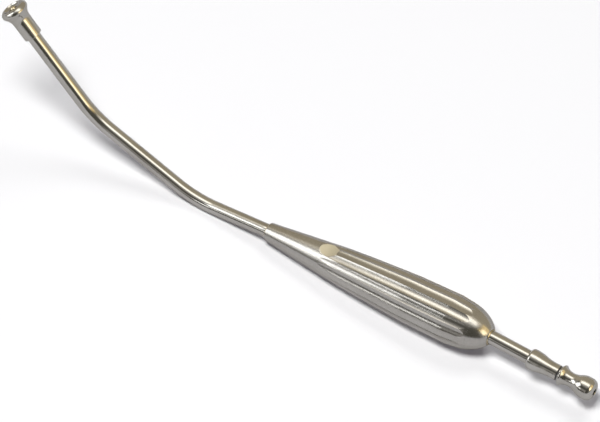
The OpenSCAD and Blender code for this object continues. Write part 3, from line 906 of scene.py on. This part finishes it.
# Mouth piece
def bell_outline():
    """Sleeve, flare, lip, dish, the strainer's seat, throat and threaded bore."""
    bore_r = BUSH_R + THREAD_GAP
    lip_inset = SLEEVE_R - MOUTH_R + LIP_R
    flare_drop = FLARE_L - LIP_R
    flare_r = (lip_inset ** 2 + flare_drop ** 2 - LIP_R ** 2) / (2 * (LIP_R - lip_inset))
    flare_turn = math.degrees(math.asin(flare_drop / (flare_r + LIP_R)))
    dish_edge_r = MOUTH_R - LIP_R
    seat_r = STRAINER_FLANGE_R + SOLDER_GAP
    dish_flat_r = seat_r + DISH_LAND
    dish_w = dish_edge_r - dish_flat_r
    dish_r = (dish_w ** 2 + DISH_DEPTH ** 2) / (2 * DISH_DEPTH)
    dish_turn = math.degrees(math.asin(dish_w / dish_r))
    seat_z = -DISH_DEPTH - STRAINER_FLANGE_T - FACE_GAP
    outline = [(bore_r, -BELL_L)]
    outline += arc((SLEEVE_R - SLEEVE_ROUND, -BELL_L + SLEEVE_ROUND), SLEEVE_ROUND, -90, 0, SLEEVE_STEPS)
    outline += arc((SLEEVE_R + flare_r, -FLARE_L), flare_r, 180, 180 - flare_turn, FLARE_STEPS)
    outline += arc((dish_edge_r, -LIP_R), LIP_R, -flare_turn, 90)
    outline += arc((dish_flat_r, dish_r - DISH_DEPTH), dish_r, dish_turn - 90, -90)
    outline += [(seat_r, -DISH_DEPTH), (seat_r, seat_z), (THROAT_R, seat_z), (THROAT_R, -SHOULDER_L)]
    outline += [(bore_r, -SHOULDER_L)]
    return outline


bell = settle(turned("bell", bell_outline(), mouth), "bell", polished)
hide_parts("suction_bell")
strainer = settle(perforated_strainer(warm), "bell")
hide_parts("strainer_dome")

# Tube and its threaded tip
tube = settle(bent_tube(), "instrument", drawn)
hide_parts("suction_tube")
tip_low = -BELL_L + SLEEVE_ROUND
tip_high = -SHOULDER_L - SEAL_T - FACE_GAP
tip_outline = [(TUBE_R + SOLDER_GAP, tip_low)] + thread_outline(BUSH_R, tip_low, tip_high)
tip_outline += [(TUBE_R + SOLDER_GAP, tip_high)]
tip = settle(turned("tip_thread", tip_outline, mouth, (BUSH_R, tip_low, tip_high)),
             "instrument", polished)
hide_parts("tip_bush")

# Handle with its two bushes and its dome cap
body = settle(fluted_handle(satin), "instrument")
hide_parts("handle_body")


def bush_outline(inside_l, collar):
    """A bush that lies inside the handle by one length and stands out of it by the other."""
    bore_r = TUBE_R + SOLDER_GAP
    return [(bore_r, -inside_l), (BUSH_R, -inside_l), (BUSH_R, collar - BUSH_CHAMFER),
            (BUSH_R - BUSH_CHAMFER, collar), (bore_r, collar)]


def cap_outline():
    """The dome cap: its hub on the bush, a slanted web, the spigot in the handle and the dome itself."""
    spigot_r = handle_r(seam_x) - SHELL_WALL - SOLDER_GAP
    inner_r = spigot_r - SHELL_WALL
    seam = -CAP_L
    hub = -REAR_BUSH_L
    web = -4 * SHELL_WALL
    dome_from = math.degrees(math.acos((seam_x - dome_x) / DOME_L))
    dome_to = math.degrees(math.acos((HANDLE_L - dome_x) / DOME_L))
    outline = [(bush_bore_r, hub), (HUB_R, hub), (HUB_R, web), (inner_r, seam + SHELL_WALL)]
    outline += [(inner_r, seam - SPIGOT_L), (spigot_r, seam - SPIGOT_L), (spigot_r, seam + FACE_GAP)]
    for i in range(DOME_STEPS + 1):
        a = math.radians(dome_from + (dome_to - dome_from) * i / DOME_STEPS)
        z = dome_x + DOME_L * math.cos(a) - HANDLE_L
        outline.append((BELLY_R * math.sin(a), max(seam + FACE_GAP, z)))
    outline.append((bush_bore_r, 0.0))
    return outline


cap = settle(turned("dome_cap", cap_outline(), dome_end, ease=0.03), "instrument", satin)
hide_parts("handle_cap")
nose_ring = settle(turned("nose_ring", bush_outline(NOSE_BUSH_L, NOSE_COLLAR), nose, ease=0.06),
                   "instrument", warm)
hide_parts("nose_bush")
rear_ring = settle(turned("rear_ring", bush_outline(REAR_BUSH_L, REAR_COLLAR), dome_end, ease=0.06),
                   "instrument", warm)
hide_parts("rear_bush")


# Hose socket, washer and nipple
def socket_outline():
    """The ferrule: a rounded shoulder, a waist towards the nipple, the tube's seat and the threaded bore."""
    bore_r = TUBE_R + SOLDER_GAP
    thread_r = SPIGOT_R + THREAD_GAP
    outline = [(bore_r, 0.0)] + arc((SOCKET_R - SHOULDER_R, SHOULDER_R), SHOULDER_R, -90, 0, ROUND_STEPS)
    outline += reversed(wave(WAIST_R, SOCKET_L - WAIST_L, SOCKET_R, SHOULDER_R + SHOULDER_LAND))
    outline += [(WAIST_R, SOCKET_L), (thread_r, SOCKET_L), (thread_r, TUBE_SEAT_L + FACE_GAP)]
    return outline + [(bore_r, TUBE_SEAT_L + FACE_GAP)]


spigot_low = -WASHER_T - NIPPLE_SPIGOT_L


def nipple_outline():
    """Threaded spigot, land, flange, neck and olive, with the bore's edge broken."""
    rim_at = (FLANGE_R - FLANGE_ROUND, LAND_L + FLANGE_ROUND)
    rim = arc(rim_at, FLANGE_ROUND, -90, FLANGE_TURN, ROUND_STEPS)
    rise = rim[-1][0] - NECK_R
    run = NECK_X - rim[-1][1]
    flank_r = (rise ** 2 + run ** 2) / (2 * rise)
    flank_turn = math.degrees(math.asin(run / flank_r))
    outline = [(NIPPLE_BORE_R, spigot_low)] + thread_outline(SPIGOT_R, spigot_low, 0.0)
    outline += [(LAND_R, 0.0), (LAND_R, LAND_L)] + rim
    outline += arc((NECK_R + flank_r, NECK_X), flank_r, 180 + flank_turn, 180)
    outline += wave(NECK_R, NECK_X, OLIVE_R, NIPPLE_L - OLIVE_ROUND - BAND_L)[1:]
    outline += arc((OLIVE_R - OLIVE_ROUND, NIPPLE_L - OLIVE_ROUND), OLIVE_ROUND, 0, 90)
    return outline + [(NIPPLE_BORE_R + BORE_CHAMFER, NIPPLE_L), (NIPPLE_BORE_R, NIPPLE_L - BORE_CHAMFER)]


socket_piece = settle(turned("hose_socket_piece", socket_outline(), socket),
                      "instrument", polished)
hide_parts("hose_socket")
nipple_place = washer @ Matrix.Translation((0.0, 0.0, WASHER_T + 2 * FACE_GAP))
nipple = settle(turned("nipple", nipple_outline(), nipple_place, (SPIGOT_R, spigot_low, -WASHER_T)),
                "nipple", polished)
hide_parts("hose_nipple")

# Seals keep their CAD solids
for node in ("tip_seal", "nipple_washer"):
    for place in frame["nodes"][node].material_slots:
        place.material = rubber


# Floor, light and camera
FLOOR_WHITE = (0.78, 0.78, 0.78)
FLOOR_LIFT = (0.075, 0.070, 0.082)
FLOOR_HALF = 1.6
ROOM_GREY = (0.60, 0.58, 0.55)
ROOM_DARK = (0.15, 0.145, 0.12)
ROOM_OLIVE = (0.74, 0.66, 0.50)
ROOM_PALE = (1.0, 0.95, 0.86)
# Dark figures as azimuth, elevation and reach in degrees: one beside the camera, one low in front of the
# handle. They fade out between two shares of their reach.
DARK_FIGURES = ((-56.0, 12.0, 24.0), (-112.0, 3.0, 13.0))
FIGURE_CORE = 0.75
FIGURE_RIM = 1.25
# The Y of a direction at which the front of the room ends, and at which what is behind is all that is left
FRONT_ENDS = -0.10
BEHIND_FROM = 0.20
WHITE = (1.0, 1.0, 1.0)


def pale_floor():
    """White paper that takes the object's shadow. Only the camera and the steel see its faint glow."""
    mesh = bpy.data.meshes.new("floor")
    corners = [(x * FLOOR_HALF, y * FLOOR_HALF, 0) for x, y in ((-1, -1), (1, -1), (1, 1), (-1, 1))]
    mesh.from_pydata(corners, [], [(0, 1, 2, 3)])
    floor = bpy.data.objects.new("floor", mesh)
    scene.collection.objects.link(floor)
    f = Finish("floor_paper")
    f.tree.nodes.remove(f.shader)
    paper = f.node("ShaderNodeBsdfDiffuse", {"Color": (*FLOOR_WHITE, 1.0)})
    ray = f.node("ShaderNodeLightPath")
    seen = f.sum(ray.outputs["Is Camera Ray"], ray.outputs["Is Glossy Ray"])
    seen = f.sum(seen, ray.outputs["Is Transmission Ray"])
    lift = f.node("ShaderNodeEmission", {"Color": (*FLOOR_LIFT, 1.0), "Strength": seen})
    both = f.node("ShaderNodeAddShader", {0: paper.outputs[0], 1: lift.outputs[0]})
    f.link(both.outputs[0], f.tree.nodes["Material Output"].inputs["Surface"])
    mesh.materials.append(f.material)


def towards(azimuth, elevation):
    """The unit vector at an azimuth counted from +X towards +Y and an elevation, in degrees."""
    a = math.radians(azimuth)
    e = math.radians(elevation)
    return Vector((math.cos(a) * math.cos(e), math.sin(a) * math.cos(e), math.sin(e)))


def lamp(name, out, distance, size, brightness, colour, for_steel):
    """A soft rectangular lamp that faces the middle of the instrument from a distance in metres.
    A lamp for the steel is mirrored at its brightness, and lights nothing matt.
    Any other lamp lights what is matt, and isn't mirrored."""
    data = bpy.data.lights.new(name, "AREA")
    data.shape = "RECTANGLE"
    data.size = size[0]
    data.size_y = size[1]
    data.energy = brightness * size[0] * size[1] * math.pi
    data.color = colour
    light = bpy.data.objects.new(name, data)
    light.location = Vector(VIEW_TARGET_MM) * MM + out * distance
    # A lamp straight above has no side of its own, so its width lies along the instrument
    side = Vector((0.0, 0.0, 1.0)).cross(out)
    side = side.normalized() if side.length > 0.5 else X_AXIS
    light.rotation_euler = Matrix((side, out.cross(side).normalized(), out)).transposed().to_euler()
    light.visible_glossy = for_steel
    light.visible_diffuse = not for_steel
    scene.collection.objects.link(light)


def studio_world():
    """The room that the steel mirrors: grey in front with a dark band above it and two dark figures, and
    olive behind. Nothing matt is lit by it."""
    world = bpy.data.worlds.new("studio")
    scene.world = world
    world.cycles_visibility.diffuse = False
    world.use_nodes = True
    room = Nodes(world.node_tree)
    way = room.node("ShaderNodeTexCoord").outputs["Generated"]
    split = room.node("ShaderNodeSeparateXYZ", {0: way})

    def by_height(tones):
        """A colour by height, from pairs of a height and its tone."""
        ramp = room.node("ShaderNodeValToRGB", {0: split.outputs["Z"]})
        stops = ramp.color_ramp.elements
        stops.remove(stops[1])
        for i, (height, tone) in enumerate(tones):
            stop = stops[0] if i == 0 else stops.new(height)
            stop.position = height
            stop.color = (*tone, 1)
        return ramp.outputs[0]

    def between(value, low, high):
        """0 below low, 1 above high, smooth between them."""
        return room.node("ShaderNodeMapRange", {"Value": value, "From Min": low, "From Max": high},
                         interpolation_type="SMOOTHSTEP").outputs[0]

    front = by_height(((0.0, ROOM_GREY), (0.42, ROOM_GREY), (0.58, ROOM_DARK), (0.72, ROOM_DARK),
                       (0.88, ROOM_GREY)))
    behind = by_height(((0.0, ROOM_PALE), (0.15, ROOM_OLIVE), (0.9, ROOM_OLIVE)))
    colour = room.tint(between(split.outputs["Y"], FRONT_ENDS, BEHIND_FROM), front, behind)
    for azimuth, elevation, reach in DARK_FIGURES:
        figure = towards(azimuth, elevation)
        apart = room.node("ShaderNodeVectorMath", {0: way, 1: figure}, operation="DOT_PRODUCT")
        rim = math.cos(math.radians(reach * FIGURE_RIM))
        core = math.cos(math.radians(reach * FIGURE_CORE))
        colour = room.tint(between(apart.outputs["Value"], rim, core), colour, ROOM_DARK)
    room.link(colour, room.tree.nodes["Background"].inputs["Color"])


def photo_camera():
    """The camera at the photograph's angle."""
    a = math.radians(VIEW_AZIMUTH)
    e = math.radians(VIEW_ELEVATION)
    back = Vector((math.sin(a) * math.cos(e), -math.cos(a) * math.cos(e), math.sin(e)))
    right = Vector((math.cos(a), math.sin(a), 0.0))
    up = back.cross(right)
    data = bpy.data.cameras.new("camera")
    data.sensor_width = SENSOR_MM
    data.sensor_fit = "HORIZONTAL"
    data.lens = FOCAL_PX * SENSOR_MM / PHOTO_W
    data.clip_start = 0.1
    data.clip_end = 20.0
    camera = bpy.data.objects.new("camera", data)
    at = (Vector(VIEW_TARGET_MM) + back * VIEW_DISTANCE_MM) * MM
    camera.matrix_world = Matrix.Translation(at) @ Matrix((right, up, back)).transposed().to_4x4()
    scene.collection.objects.link(camera)
    scene.camera = camera


photo_camera()
pale_floor()
studio_world()
lamp("overhead_core", towards(0.0, 90.0), distance=1.1, size=(1.35, 0.42), brightness=2.2,
     colour=(1.0, 0.98, 0.90), for_steel=True)
lamp("overhead_halo", towards(0.0, 90.0), distance=1.15, size=(1.9, 0.90), brightness=0.8,
     colour=(1.0, 0.97, 0.88), for_steel=True)
lamp("nose_box", towards(-146.0, 30.0), distance=1.2, size=(0.60, 0.84), brightness=4.0,
     colour=(0.97, 0.99, 1.0), for_steel=True)
lamp("side_strip", towards(-114.0, 20.0), distance=1.2, size=(0.30, 0.16), brightness=3.4,
     colour=(0.97, 0.99, 1.0), for_steel=True)
lamp("right_box", towards(-8.0, 24.0), distance=1.2, size=(0.46, 0.50), brightness=2.6,
     colour=(1.0, 0.93, 0.70), for_steel=True)
lamp("gold_card", towards(4.0, 26.0), distance=1.25, size=(1.00, 0.80), brightness=1.2,
     colour=(1.0, 0.70, 0.22), for_steel=True)
lamp("floor_front", towards(-90.0, 72.0), distance=2.6, size=(0.9, 0.7), brightness=36.5,
     colour=WHITE, for_steel=False)
lamp("floor_back", towards(90.0, 60.0), distance=2.6, size=(1.2, 1.0), brightness=4.6,
     colour=WHITE, for_steel=False)
scene.view_settings.view_transform = "Standard"
